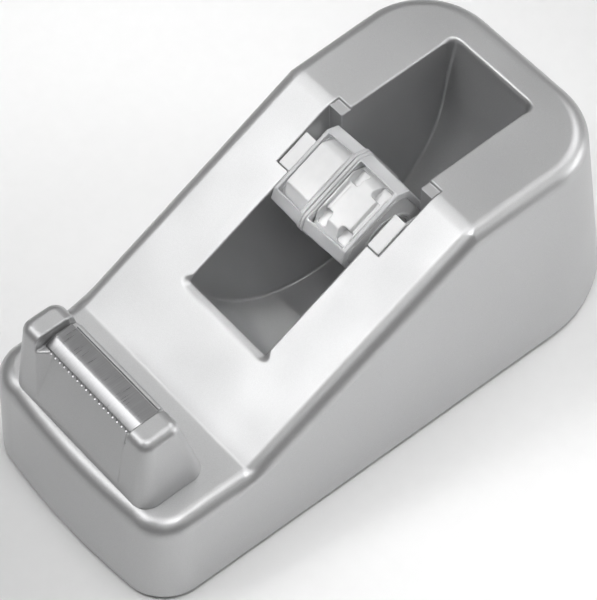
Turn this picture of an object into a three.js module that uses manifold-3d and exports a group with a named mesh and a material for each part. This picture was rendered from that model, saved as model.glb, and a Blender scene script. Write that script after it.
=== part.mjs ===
// Desk tape dispenser for small-core tape rolls.
// Millimetres, +Z up. The origin is the centre of the footprint, on the surface that the feet stand on.
// -Y is the front, where the blade is. +X and -X are the two long sides.
import * as THREE from 'three';
import { mergeVertices } from 'three/addons/utils/BufferGeometryUtils.js';
import Module from 'manifold-3d';

const wasm = await Module();
wasm.setup();

// ---- driving dimensions -------------------------------------------------------------------
const GAP = 0.3;                 // clearance kept between neighbouring pieces
const FOOT_DROP = 0.8;           // how far the feet hold the rim above the table

// Everything below is measured from the rim of the shell, which is at z = 0 in the housing.
const HALF_LENGTH = 63.55;
const HALF_WIDTH = 27.9;
const FRONT_CORNER = 9.7;        // plan radius of the front corners
const REAR_CORNER = 27.6;        // plan radius of the rear corners
const FRONT_BOW = 1.0;           // how far the front edge bulges in plan
const OUTLINE_SHIFT = FRONT_BOW / 2;   // puts the outline, bow included, evenly about the origin
const SIDE_BELLY = 0.08;         // how far the long sides belly out in plan
const WIDENING = 0.0227;         // the body is wider at the rear and narrower in front by this share
const SIDE_LEAN = 0.015;         // draft of each wall, mm per mm of height
const FRONT_LEAN = 0.089;
const REAR_LEAN = 0.242;
const WALL = 2.0;
const EDGE_ROUND = 3.4;          // rounding along the top edges

const PLATFORM_Z = 22.6;
const RAMP_FOOT_Y = -38.4;
const RAMP_SLOPE = 0.5;
const RIDGE_Y = 15.8;
const TOP_SLOPE = 0.027;
const RIDGE_Z = PLATFORM_Z + RAMP_SLOPE * (RIDGE_Y - RAMP_FOOT_Y);

const WELL_HALF = 11.33;         // half the width of the tape well
const WELL_FRONT_Y = -24.5;
const WELL_REAR_Y = 44.2;
const WELL_CENTRE = new THREE.Vector2(9.2, 39.2);
const WELL_RADIUS = 32.8;
const WELL_REAR_LEAN = THREE.MathUtils.degToRad(9);
const WELL_CORNER = 2.3;
const WELL_LIP = 1.9;            // chamfer where the well runs out on the ramp
const TUB_WALL = 1.8;

const HUB_AXIS = new THREE.Vector2(8.8, 38.1);   // y and z of the line the hub spins on
const DRUM_HALF_LENGTH = 10.3;
const DRUM_SEAM_X = -1.4;        // the two halves meet a little left of the middle
const DRUM_HALF_FLAT = 9.7;      // half the distance across the flats, at the seam
const DRUM_CORNER = 3.5;
const DRUM_TAPER = 0.97;         // size of the section half the drum's length from the seam
const DRUM_WALL = 1.5;
const RIB_REACH = 8.9;           // the cross-shaped ribs inside each half
const RIB_HALF_THICK = 0.6;
const BAND_PROUD = 0.25;         // lip of each half where the two meet
const BAND_WIDTH = 0.8;
const SLEEVE_RADIUS = 3.6;
const COLLAR_REACH = 11.1;
const AXLE_RADIUS = 2.1;
const AXLE_HALF = 14.1;

const ABOVE = RIDGE_Z + 10;      // clear of everything; cuts that are open at the top reach up to here

const GROOVE_OUTER = 14.75;      // the two upright grooves that hold the ends of the hub
const GROOVE_FRONT_Y = 2.5;
const GROOVE_REAR_Y = 15.7;
const GROOVE_BOTTOM_Z = 32.7;
const LEDGE_REAR_Y = 18.0;       // shallow step behind each groove, across the ridge
const LEDGE_Z = 49.2;
const LUG_INNER = 11.45;
const LUG_OUTER = 14.4;
const LUG_STEP_Y = 9.5;          // the lug fills the groove up to the ramp in front of this
const LUG_STEP_Z = 41.6;         // and only up to here behind it
const LUG_BELOW_RAMP = 0.35;

const HEAD_FRONT_Y = -59.1;
const HEAD_REAR_Y = -43.6;
const HEAD_HALF = 20.2;
const HEAD_TOP_Z = 40.0;
const HEAD_CORNER = 3.6;
const HEAD_FRONT_LEAN = 0.15;
const HEAD_REAR_LEAN = 0.236;
const HEAD_SIDE_LEAN = 0.08;
const HEAD_ROUND = 1.2;
const EAR_INNER = 13.5;
const HEAD_LIP_Z = 38.0;
const FACE_RECESS_START = 1.6;   // height above the foot where the front face starts to sink in
const FACE_RECESS_TOP_Y = -56.0; // where it has got to at the blade

const BLADE_HALF = 13.2;
const BLADE_THICK = 0.4;
const BLADE_Z = 37.8;            // top of the flat strip
const BLADE_REAR_Y = -48.4;
const BLADE_BEND_Y = -52.2;
const BLADE_EDGE_Y = -54.7;
const BLADE_DROP = 1.1;          // how far the bent band falls to the cutting edge
const TOOTH_COUNT = 20;
const TOOTH_LENGTH = 1.0;
const TOOTH_SPACE = 0.1;         // flat left between two teeth
const TOOTH_ROOT = 0.3;          // how far a tooth reaches into the strip

const PLATE_BOTTOM = 0.2;
const PLATE_TOP = 2.6;
const SCREW_SHANK = 1.2;         // radius
const SCREW_HEAD = 2.6;          // radius
const SCREW_HEAD_HEIGHT = 1.2;
const SCREW_LENGTH = 8.0;
const SCREW_TAPER = 0.3;         // the head and the tip are smaller in radius by this
const SCREW_HOLE_DEPTH = 10.0;
const RECESS_DEPTH = 0.8;        // cross recess in the screw's head
const RECESS_HALF_WIDTH = 0.3;
const RECESS_REACH = 1.4;
const BOSS_RADIUS = 3.2;
const BOSS_TOP_RADIUS = 3.8;
const BASE_SCREWS = {
  front_left: [-19, -51],
  front_right: [19, -51],
  rear_left: [-17, 46],
  rear_right: [17, 46],
};
const FEET = {
  front_left: [-17.5, -40],
  front_right: [17.5, -40],
  rear_left: [-19, 34],
  rear_right: [19, 34],
};
const FOOT_RADIUS = 5.0;
const HEAD_SCREW_X = 11.5;
const HEAD_SCREW_Y = -51.5;
const HEAD_POST_RADIUS = 3.0;
const HEAD_SOLE_INSET = 4.0;     // width of the ring that the hollow head stands on
const HEAD_HOLLOW_ROUND = 0.6;

const BALLAST = { inner: 17.4, outer: 23.6, front: -27, rear: 27, height: 13.5 };
const STOP_THICK = 1.5;          // low walls on the base plate that keep the ballast in place
const STOP_HEIGHT = 5.0;
const FOOT_TOP = 1.0;            // how deep the feet reach into their pockets

const ROUND = 24;                // facets round a small cylinder
const ARC = 9;                   // facets round a corner

// ---- solids -------------------------------------------------------------------------------
const AXIS_X = new THREE.Vector3(1, 0, 0);
const AXIS_Y = new THREE.Vector3(0, 1, 0);
const AXIS_Z = new THREE.Vector3(0, 0, 1);

function toSolid(geometry) {
  geometry.deleteAttribute('normal');
  geometry.deleteAttribute('uv');
  const merged = mergeVertices(geometry, 1e-4);
  const corners = merged.index.array;
  const triangles = [];
  for (let i = 0; i < corners.length; i += 3) {
    const [a, b, c] = [corners[i], corners[i + 1], corners[i + 2]];
    if (a !== b && b !== c && c !== a) {
      triangles.push(a, b, c);
    }
  }
  return new wasm.Manifold(new wasm.Mesh({
    numProp: 3,
    vertProperties: new Float32Array(merged.attributes.position.array),
    triVerts: new Uint32Array(triangles),
  }));
}

// The same outline as straight facets, without the doubled points where its curves meet.
function faceted(shape, curveSegments) {
  const points = shape.getPoints(curveSegments);
  const apart = points.filter((point, i) => point.distanceTo(points[(i + 1) % points.length]) > 1e-6);
  return new THREE.Shape(apart);
}

function toGeometry(solid) {
  const mesh = solid.getMesh();
  const geometry = new THREE.BufferGeometry();
  geometry.setAttribute('position', new THREE.BufferAttribute(new Float32Array(mesh.vertProperties), 3));
  geometry.setIndex(new THREE.BufferAttribute(new Uint32Array(mesh.triVerts), 1));
  geometry.computeVertexNormals();
  return geometry;
}

function box(x0, x1, y0, y1, z0, z1) {
  const geometry = new THREE.BoxGeometry(x1 - x0, y1 - y0, z1 - z0);
  geometry.translate((x0 + x1) / 2, (y0 + y1) / 2, (z0 + z1) / 2);
  return geometry;
}

// A cylinder or cone standing on z0 at x, y.
function post(x, y, z0, z1, radius, topRadius = radius) {
  const geometry = new THREE.CylinderGeometry(topRadius, radius, z1 - z0, ROUND);
  geometry.rotateX(Math.PI / 2);
  geometry.translate(x, y, (z0 + z1) / 2);
  return geometry;
}

// A shape drawn in y and z, swept across from x0 to x1.
function acrossBody(shape, x0, x1, curveSegments = ARC) {
  const outline = faceted(shape, curveSegments);
  const geometry = new THREE.ExtrudeGeometry(outline, { depth: x1 - x0, bevelEnabled: false });
  geometry.applyMatrix4(new THREE.Matrix4().makeBasis(AXIS_Y, AXIS_Z, AXIS_X));
  geometry.translate(x0, 0, 0);
  return geometry;
}

function polygon(points) {
  return new THREE.Shape(points.map(([u, v]) => new THREE.Vector2(u, v)));
}

const RAMP_ANGLE = Math.atan(RAMP_SLOPE);
const rampHeight = (y) => PLATFORM_Z + RAMP_SLOPE * (y - RAMP_FOOT_Y);

// ---- outline of the body ------------------------------------------------------------------
function planOutline(inset) {
  const w = HALF_WIDTH - inset;
  const l = HALF_LENGTH - inset;
  const rf = FRONT_CORNER - inset;
  const rr = REAR_CORNER - inset;
  const shape = new THREE.Shape();
  shape.moveTo(-w + rf, -l);
  shape.quadraticCurveTo(0, -l - 2 * FRONT_BOW, w - rf, -l);
  shape.absarc(w - rf, -l + rf, rf, -Math.PI / 2, 0, false);
  shape.lineTo(w + SIDE_BELLY, RAMP_FOOT_Y - OUTLINE_SHIFT);
  shape.lineTo(w + SIDE_BELLY, RIDGE_Y - OUTLINE_SHIFT);
  shape.lineTo(w, l - rr);
  shape.absarc(w - rr, l - rr, rr, 0, Math.PI / 2, false);
  shape.lineTo(-w + rr, l);
  shape.absarc(-w + rr, l - rr, rr, Math.PI / 2, Math.PI, false);
  shape.lineTo(-w - SIDE_BELLY, RIDGE_Y - OUTLINE_SHIFT);
  shape.lineTo(-w - SIDE_BELLY, RAMP_FOOT_Y - OUTLINE_SHIFT);
  shape.lineTo(-w, -l + rf);
  shape.absarc(-w + rf, -l + rf, rf, Math.PI, 1.5 * Math.PI, false);
  return shape;
}

// How the wall leans in at a point of the outline, as mm in x and y per mm of height. The corners
// tighten with height as fast as the end walls lean in, so the ends grow flatter towards the top.
function wallLean(x, y) {
  const corner = y < 0 ? FRONT_CORNER : REAR_CORNER;
  const dx = Math.max(0, Math.abs(x) - (HALF_WIDTH - corner));
  const dy = Math.max(0, Math.abs(y) - (HALF_LENGTH - corner));
  const out = new THREE.Vector2(Math.sign(x) * dx, Math.sign(y) * dy).normalize();
  const endLean = y < 0 ? FRONT_LEAN : REAR_LEAN;
  const share = Math.min(1, Math.abs(x) / (HALF_WIDTH - corner));
  const leanX = Math.sign(x) * share * (endLean * (Math.abs(out.x) - 1) + SIDE_LEAN);
  return new THREE.Vector2(leanX, endLean * out.y);
}

// Side view of the top of the body: platform, ramp and top, seen along x.
function topHeight(y) {
  const top = RIDGE_Z + TOP_SLOPE * (y - RIDGE_Y);
  return Math.max(PLATFORM_Z, Math.min(rampHeight(y), top));
}

// Moves every point of an extruded outline onto the drafted, widening walls. heightOf gives the
// point's height from its y and its level in the extrusion.
function drafted(geometry, heightOf) {
  const position = geometry.attributes.position;
  for (let i = 0; i < position.count; i += 1) {
    const x = position.getX(i);
    const y = position.getY(i);
    const level = position.getZ(i);
    const lean = wallLean(x, y);
    const leanHeight = Math.min(heightOf(y, level), topHeight(y));
    const movedY = y - lean.y * leanHeight + OUTLINE_SHIFT;
    const widening = 1 + WIDENING * y / HALF_LENGTH;
    position.setXYZ(i, (x - lean.x * leanHeight) * widening, movedY, heightOf(movedY, level));
  }
  return toSolid(geometry);
}

// The body as a full solid, its walls moved in by `inset` and its top lowered by as much. The
// rounded rim is made by bevel rings, which stand a little high and are cut by the top's side view.
function bodySolid(inset, edgeRound) {
  const rings = 6;
  const margin = 0.02;
  const capHeight = RIDGE_Z + 15;
  const raise = edgeRound * (1 - Math.sin((1 - 1 / rings) * Math.PI / 2)) + margin;
  const geometry = new THREE.ExtrudeGeometry(faceted(planOutline(inset), ARC), {
    depth: 1,
    bevelEnabled: true,
    bevelSegments: rings,
    bevelSize: edgeRound,
    bevelThickness: edgeRound,
    bevelOffset: -edgeRound,
  });
  const lastRing = 1 + edgeRound - 1e-4;
  const blank = drafted(geometry, (y, level) => {
    if (level < 0.5) {
      return 0;
    }
    const drop = edgeRound - Math.max(0, level - 1);
    return level > lastRing ? capHeight : topHeight(y) - inset + raise - drop;
  });
  const far = 80;
  const sideView = polygon([
    [-far, -5],
    [far, -5],
    [far, topHeight(far) - inset],
    [RIDGE_Y, RIDGE_Z - inset],
    [RAMP_FOOT_Y, PLATFORM_Z - inset],
    [-far, PLATFORM_Z - inset],
  ]);
  return blank.intersect(toSolid(acrossBody(sideView, -far, far)));
}

// ---- tape well ----------------------------------------------------------------------------
// Side view of the well grown outwards by `grow`: an arc for the roll and a straight rear wall.
function wellProfile(grow) {
  const radius = WELL_RADIUS + grow;
  const wellMouthZ = rampHeight(WELL_FRONT_Y);
  const startAngle = Math.PI + Math.asin((WELL_CENTRE.y - wellMouthZ + WELL_LIP) / radius);
  const endAngle = 2 * Math.PI - WELL_REAR_LEAN;
  const end = new THREE.Vector2(Math.cos(endAngle), Math.sin(endAngle)).multiplyScalar(radius).add(WELL_CENTRE);
  const shape = new THREE.Shape();
  shape.moveTo(WELL_FRONT_Y - grow, ABOVE);
  shape.lineTo(WELL_FRONT_Y - grow, wellMouthZ);
  shape.absarc(WELL_CENTRE.x, WELL_CENTRE.y, radius, startAngle, endAngle, false);
  shape.lineTo(end.x + Math.tan(WELL_REAR_LEAN) * (ABOVE - end.y), ABOVE);
  return shape;
}

function roundedRect(x0, x1, y0, y1, r) {
  const shape = new THREE.Shape();
  shape.absarc(x1 - r, y0 + r, r, -Math.PI / 2, 0, false);
  shape.absarc(x1 - r, y1 - r, r, 0, Math.PI / 2, false);
  shape.absarc(x0 + r, y1 - r, r, Math.PI / 2, Math.PI, false);
  shape.absarc(x0 + r, y0 + r, r, Math.PI, 1.5 * Math.PI, false);
  return shape;
}

function wellSolid(grow) {
  const half = WELL_HALF + grow;
  const sweep = toSolid(acrossBody(wellProfile(grow), -half, half, 30));
  const mouth = roundedRect(-half, half, WELL_FRONT_Y - grow, WELL_REAR_Y + grow, WELL_CORNER + grow);
  const shaft = new THREE.ExtrudeGeometry(faceted(mouth, 4), { depth: ABOVE, bevelEnabled: false });
  return sweep.intersect(toSolid(shaft));
}

// A box on both sides of the well, from `inner` to `outer` in x.
function bothSides(inner, outer, y0, y1, z0, z1) {
  return toSolid(box(inner, outer, y0, y1, z0, z1)).add(toSolid(box(-outer, -inner, y0, y1, z0, z1)));
}

// ---- body shell ---------------------------------------------------------------------------
function bodyShell() {
  const outer = bodySolid(0, EDGE_ROUND);
  const hollow = bodySolid(WALL, EDGE_ROUND - 1);
  const grooveWalls = bothSides(
    WELL_HALF, GROOVE_OUTER + TUB_WALL,
    GROOVE_FRONT_Y - TUB_WALL, LEDGE_REAR_Y + TUB_WALL, GROOVE_BOTTOM_Z - TUB_WALL, ABOVE,
  );
  let fittings = wellSolid(TUB_WALL).add(grooveWalls);
  for (const [x, y] of Object.values(BASE_SCREWS)) {
    fittings = fittings.add(toSolid(post(x, y, PLATE_TOP + GAP, RIDGE_Z, BOSS_RADIUS, BOSS_TOP_RADIUS)));
  }
  const grooves = bothSides(
    WELL_HALF - 1, GROOVE_OUTER, GROOVE_FRONT_Y, GROOVE_REAR_Y, GROOVE_BOTTOM_Z, ABOVE,
  );
  const ledges = bothSides(
    WELL_HALF - 1, GROOVE_OUTER, GROOVE_REAR_Y - 1, LEDGE_REAR_Y, LEDGE_Z, ABOVE,
  );
  let shell = outer.subtract(hollow).add(fittings.intersect(outer)).subtract(wellSolid(0));
  shell = shell.subtract(grooves).subtract(ledges);
  for (const [x, y] of Object.values(BASE_SCREWS)) {
    shell = shell.subtract(toSolid(post(x, y, 0, SCREW_HOLE_DEPTH, SCREW_SHANK + GAP)));
  }
  for (const x of [-HEAD_SCREW_X, HEAD_SCREW_X]) {
    const hole = post(x, HEAD_SCREW_Y, PLATFORM_Z - 2 * WALL, PLATFORM_Z + WALL, SCREW_SHANK + GAP);
    shell = shell.subtract(toSolid(hole));
  }
  return shell;
}

// ---- cutter head --------------------------------------------------------------------------
// The block of the head, drafted on all four sides, from its foot up to topZ.
function headBlock(inset, topZ, edgeRound) {
  const outline = roundedRect(
    -HEAD_HALF + inset, HEAD_HALF - inset, HEAD_FRONT_Y + inset, HEAD_REAR_Y - inset, HEAD_CORNER - inset,
  );
  const foot = PLATFORM_Z + GAP;
  const geometry = new THREE.ExtrudeGeometry(faceted(outline, 5), {
    depth: 1,
    bevelEnabled: true,
    bevelSegments: 3,
    bevelSize: edgeRound,
    bevelThickness: edgeRound,
    bevelOffset: -edgeRound,
  });
  const middleY = (HEAD_FRONT_Y + HEAD_REAR_Y) / 2;
  const position = geometry.attributes.position;
  for (let i = 0; i < position.count; i += 1) {
    const x = position.getX(i);
    const y = position.getY(i);
    const level = position.getZ(i);
    const z = level > 0.5 ? topZ - edgeRound + Math.max(0, level - 1) : foot;
    const rise = z - foot;
    const sideShare = x / (HEAD_HALF - inset);
    const endShare = (y - middleY) / (HEAD_REAR_Y - middleY - inset);
    const endLean = y < middleY ? HEAD_FRONT_LEAN : HEAD_REAR_LEAN;
    position.setXYZ(i, x - sideShare * HEAD_SIDE_LEAN * rise, y - endShare * endLean * rise, z);
  }
  return toSolid(geometry);
}

function cutterHead() {
  const blockBottom = PLATFORM_Z + GAP;
  const bayFloor = BLADE_Z - BLADE_THICK - GAP;
  const bayRear = BLADE_REAR_Y + GAP;
  const noseY = HEAD_FRONT_Y - 2;
  const bay = polygon([
    [noseY, ABOVE],
    [noseY, bayFloor - BLADE_DROP],
    [BLADE_EDGE_Y, bayFloor - BLADE_DROP],
    [BLADE_BEND_Y, bayFloor],
    [bayRear, bayFloor],
    [bayRear, ABOVE],
  ]);
  const recessFootY = HEAD_FRONT_Y + HEAD_FRONT_LEAN * FACE_RECESS_START;
  const faceRecess = polygon([
    [noseY, blockBottom + FACE_RECESS_START],
    [recessFootY, blockBottom + FACE_RECESS_START],
    [FACE_RECESS_TOP_Y, bayFloor],
    [FACE_RECESS_TOP_Y, ABOVE],
    [noseY, ABOVE],
  ]);
  let head = headBlock(0, HEAD_TOP_Z, HEAD_ROUND);
  head = head.subtract(toSolid(acrossBody(bay, -EAR_INNER, EAR_INNER)));
  head = head.subtract(toSolid(box(-EAR_INNER, EAR_INNER, noseY, HEAD_REAR_Y + 2, HEAD_LIP_Z, ABOVE)));
  head = head.subtract(toSolid(acrossBody(faceRecess, -EAR_INNER + 1, EAR_INNER - 1)));
  let hollow = headBlock(WALL, bayFloor - BLADE_DROP - WALL, HEAD_HOLLOW_ROUND);
  hollow = hollow.add(toSolid(box(
    -HEAD_HALF + HEAD_SOLE_INSET, HEAD_HALF - HEAD_SOLE_INSET,
    HEAD_FRONT_Y + HEAD_SOLE_INSET, HEAD_REAR_Y - HEAD_SOLE_INSET,
    blockBottom - WALL, blockBottom + WALL,
  )));
  for (const x of [-HEAD_SCREW_X, HEAD_SCREW_X]) {
    const screwPost = post(x, HEAD_SCREW_Y, blockBottom - 2 * WALL, HEAD_TOP_Z, HEAD_POST_RADIUS);
    hollow = hollow.subtract(toSolid(screwPost));
  }
  head = head.subtract(hollow);
  const holes = [-HEAD_SCREW_X, HEAD_SCREW_X].map(
    (x) => toSolid(post(x, HEAD_SCREW_Y, PLATFORM_Z, PLATFORM_Z + SCREW_LENGTH, SCREW_SHANK + GAP)),
  );
  return holes.reduce((cut, hole) => cut.subtract(hole), head);
}

// ---- blade --------------------------------------------------------------------------------
function cutterBlade() {
  const edgeZ = BLADE_Z - BLADE_DROP;
  const strip = polygon([
    [BLADE_REAR_Y, BLADE_Z],
    [BLADE_REAR_Y, BLADE_Z - BLADE_THICK],
    [BLADE_BEND_Y, BLADE_Z - BLADE_THICK],
    [BLADE_EDGE_Y, edgeZ - BLADE_THICK],
    [BLADE_EDGE_Y, edgeZ],
    [BLADE_BEND_Y, BLADE_Z],
  ]);
  let blade = toSolid(acrossBody(strip, -BLADE_HALF, BLADE_HALF));
  const pitch = 2 * BLADE_HALF / TOOTH_COUNT;
  for (let i = 0; i < TOOTH_COUNT; i += 1) {
    const left = -BLADE_HALF + pitch * i + TOOTH_SPACE / 2;
    const right = left + pitch - TOOTH_SPACE;
    const tooth = polygon([
      [left, BLADE_EDGE_Y + TOOTH_ROOT],
      [left, BLADE_EDGE_Y],
      [(left + right) / 2, BLADE_EDGE_Y - TOOTH_LENGTH],
      [right, BLADE_EDGE_Y],
      [right, BLADE_EDGE_Y + TOOTH_ROOT],
    ]);
    const geometry = new THREE.ExtrudeGeometry(tooth, { depth: BLADE_THICK, bevelEnabled: false });
    geometry.translate(0, 0, edgeZ - BLADE_THICK);
    blade = blade.add(toSolid(geometry));
  }
  return blade;
}

// ---- hub ----------------------------------------------------------------------------------
// A rounded square bar round the hub axis, square to the ramp, from x0 to x1, tapering outwards.
function drumBar(x0, x1, shrink, proud = 0) {
  const half = DRUM_HALF_FLAT - shrink + proud;
  const section = faceted(roundedRect(-half, half, -half, half, DRUM_CORNER - shrink / 2), 5);
  const geometry = new THREE.ExtrudeGeometry(section, { depth: x1 - x0, bevelEnabled: false });
  geometry.applyMatrix4(new THREE.Matrix4().makeBasis(AXIS_Y, AXIS_Z, AXIS_X));
  geometry.translate(x0, 0, 0);
  const position = geometry.attributes.position;
  for (let i = 0; i < position.count; i += 1) {
    const share = Math.abs(position.getX(i) - DRUM_SEAM_X) / DRUM_HALF_LENGTH;
    const size = 1 - (1 - DRUM_TAPER) * share;
    position.setXYZ(i, position.getX(i), position.getY(i) * size, position.getZ(i) * size);
  }
  return hubPlaced(geometry);
}

function axleTube(x0, x1, radius) {
  const geometry = new THREE.CylinderGeometry(radius, radius, x1 - x0, ROUND);
  geometry.rotateZ(-Math.PI / 2);
  geometry.translate((x0 + x1) / 2, 0, 0);
  return hubPlaced(geometry);
}

function hubPlaced(geometry) {
  geometry.rotateX(RAMP_ANGLE);
  geometry.translate(0, HUB_AXIS.x, HUB_AXIS.y);
  return toSolid(geometry);
}

// One cup of the drum: side is +1 for the right half and -1 for the left one.
function drumHalf(side) {
  const span = (a, b) => (side > 0 ? [a, b] : [-b, -a]);
  const seam = side * DRUM_SEAM_X + GAP / 2;
  const cup = drumBar(...span(seam, DRUM_HALF_LENGTH), 0);
  const band = drumBar(...span(seam, seam + BAND_WIDTH), 0, BAND_PROUD);
  const room = drumBar(...span(seam - 1, DRUM_HALF_LENGTH - DRUM_WALL), DRUM_WALL);
  const sleeve = axleTube(...span(seam, COLLAR_REACH), SLEEVE_RADIUS);
  const [ribStart, ribEnd] = span(seam, DRUM_HALF_LENGTH - DRUM_WALL / 2);
  const ribUp = hubPlaced(box(ribStart, ribEnd, -RIB_HALF_THICK, RIB_HALF_THICK, -RIB_REACH, RIB_REACH));
  const ribAcross = hubPlaced(box(ribStart, ribEnd, -RIB_REACH, RIB_REACH, -RIB_HALF_THICK, RIB_HALF_THICK));
  const bore = axleTube(-AXLE_HALF, AXLE_HALF, AXLE_RADIUS + GAP);
  return cup.add(band).subtract(room).add(sleeve).add(ribUp).add(ribAcross).subtract(bore);
}

// The block at each end of the axle. It drops into a groove from above and can't turn in it.
function axleLug(side) {
  const front = GROOVE_FRONT_Y + GAP;
  const rear = GROOVE_REAR_Y - GAP;
  const bottom = GROOVE_BOTTOM_Z + GAP;
  const profile = polygon([
    [front, bottom],
    [rear, bottom],
    [rear, LUG_STEP_Z],
    [LUG_STEP_Y, LUG_STEP_Z],
    [LUG_STEP_Y, rampHeight(LUG_STEP_Y) - LUG_BELOW_RAMP],
    [front, rampHeight(front) - LUG_BELOW_RAMP],
  ]);
  const [x0, x1] = side > 0 ? [LUG_INNER, LUG_OUTER] : [-LUG_OUTER, -LUG_INNER];
  const bore = axleTube(-AXLE_HALF - 2, AXLE_HALF + 2, AXLE_RADIUS + GAP);
  return toSolid(acrossBody(profile, x0, x1)).subtract(bore);
}

// ---- base, ballast, feet and screws -------------------------------------------------------
function basePlate() {
  const outline = faceted(planOutline(WALL + GAP), ARC);
  const blank = new THREE.ExtrudeGeometry(outline, { depth: PLATE_TOP - PLATE_BOTTOM, bevelEnabled: false });
  let plate = drafted(blank, (y, level) => PLATE_BOTTOM + level);
  for (const side of [-1, 1]) {
    for (const end of [BALLAST.front - GAP - STOP_THICK, BALLAST.rear + GAP]) {
      const [x0, x1] = side > 0 ? [BALLAST.inner, BALLAST.outer] : [-BALLAST.outer, -BALLAST.inner];
      plate = plate.add(toSolid(box(x0, x1, end, end + STOP_THICK, PLATE_BOTTOM, PLATE_TOP + STOP_HEIGHT)));
    }
  }
  for (const [x, y] of Object.values(BASE_SCREWS)) {
    plate = plate.subtract(toSolid(post(x, y, -1, PLATE_TOP + 1, SCREW_SHANK + GAP)));
    plate = plate.subtract(toSolid(post(x, y, -1, PLATE_BOTTOM + SCREW_HEAD_HEIGHT + GAP, SCREW_HEAD + GAP)));
  }
  for (const [x, y] of Object.values(FEET)) {
    plate = plate.subtract(toSolid(post(x, y, -1, FOOT_TOP + GAP, FOOT_RADIUS + GAP)));
  }
  return plate;
}

function rubberFoot(x, y) {
  const rim = 0.4;
  const profile = [
    new THREE.Vector2(0, -FOOT_DROP),
    new THREE.Vector2(FOOT_RADIUS - rim, -FOOT_DROP),
    new THREE.Vector2(FOOT_RADIUS, -FOOT_DROP + rim),
    new THREE.Vector2(FOOT_RADIUS, FOOT_TOP),
    new THREE.Vector2(0, FOOT_TOP),
  ];
  const geometry = new THREE.LatheGeometry(profile, ROUND);
  geometry.rotateX(Math.PI / 2);
  geometry.translate(x, y, 0);
  return toSolid(geometry);
}

// A cross-head screw driven upwards, its head's outer face at z.
function screw(x, y, z) {
  const head = toSolid(post(x, y, z, z + SCREW_HEAD_HEIGHT, SCREW_HEAD - SCREW_TAPER, SCREW_HEAD));
  const shankStart = z + SCREW_HEAD_HEIGHT / 2;
  const shank = toSolid(post(x, y, shankStart, z + SCREW_LENGTH, SCREW_SHANK, SCREW_SHANK - SCREW_TAPER));
  const recess = (halfX, halfY) => toSolid(
    box(x - halfX, x + halfX, y - halfY, y + halfY, z - GAP, z + RECESS_DEPTH),
  );
  const recessX = recess(RECESS_REACH, RECESS_HALF_WIDTH);
  const recessY = recess(RECESS_HALF_WIDTH, RECESS_REACH);
  return head.add(shank).subtract(recessX).subtract(recessY);
}

function ballastBar(side) {
  const [x0, x1] = side > 0 ? [BALLAST.inner, BALLAST.outer] : [-BALLAST.outer, -BALLAST.inner];
  const bottom = PLATE_TOP + GAP;
  return toSolid(box(x0, x1, BALLAST.front, BALLAST.rear, bottom, bottom + BALLAST.height));
}

// ---- the assembly -------------------------------------------------------------------------
const look = (color, roughness, metalness, extra = {}) => () => (
  new THREE.MeshStandardMaterial({ color, roughness, metalness, ...extra })
);
const silverPlastic = look(0xc2c3c5, 0.38, 0.55);
const clearPlastic = look(0xeef2f4, 0.08, 0.0, { transparent: true, opacity: 0.45 });
const bladeSteel = look(0xb9bbbd, 0.28, 1.0);
const basePlastic = look(0x2a2b2d, 0.6, 0.0);
const ballastSteel = look(0x6f7174, 0.5, 0.9);
const screwSteel = look(0x9a9ca0, 0.35, 1.0);
const footRubber = look(0x1b1b1c, 0.9, 0.0);

const housing = new THREE.Group();
housing.position.z = FOOT_DROP;

function place(name, solid, material) {
  const mesh = new THREE.Mesh(toGeometry(solid), material());
  mesh.name = name;
  housing.add(mesh);
}

place('body_shell', bodyShell(), silverPlastic);
place('cutter_head', cutterHead(), silverPlastic);
place('cutter_blade', cutterBlade(), bladeSteel);
place('hub_axle', axleTube(-AXLE_HALF, AXLE_HALF, AXLE_RADIUS), clearPlastic);
place('axle_lug_left', axleLug(-1), clearPlastic);
place('axle_lug_right', axleLug(1), clearPlastic);
place('drum_half_left', drumHalf(-1), clearPlastic);
place('drum_half_right', drumHalf(1), clearPlastic);
place('base_plate', basePlate(), basePlastic);
place('ballast_left', ballastBar(-1), ballastSteel);
place('ballast_right', ballastBar(1), ballastSteel);
for (const [corner, [x, y]] of Object.entries(BASE_SCREWS)) {
  place(`base_screw_${corner}`, screw(x, y, PLATE_BOTTOM), screwSteel);
}
const headScrewZ = PLATFORM_Z - WALL - GAP - SCREW_HEAD_HEIGHT;
place('head_screw_left', screw(-HEAD_SCREW_X, HEAD_SCREW_Y, headScrewZ), screwSteel);
place('head_screw_right', screw(HEAD_SCREW_X, HEAD_SCREW_Y, headScrewZ), screwSteel);
for (const [corner, [x, y]] of Object.entries(FEET)) {
  place(`rubber_foot_${corner}`, rubberFoot(x, y), footRubber);
}

const tapeDispenser = new THREE.Group();
tapeDispenser.add(housing);

export default tapeDispenser;
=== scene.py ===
"""Desk tape dispenser: the visible pieces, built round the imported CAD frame.

The moulded pieces are written as distance functions in millimetres (negative inside), with every
fillet as a radius of its own, and surface_piece() turns each of them into a mesh.
"""

import math

import bmesh
import bpy
import numpy as np
from mathutils import Matrix, Vector


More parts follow.
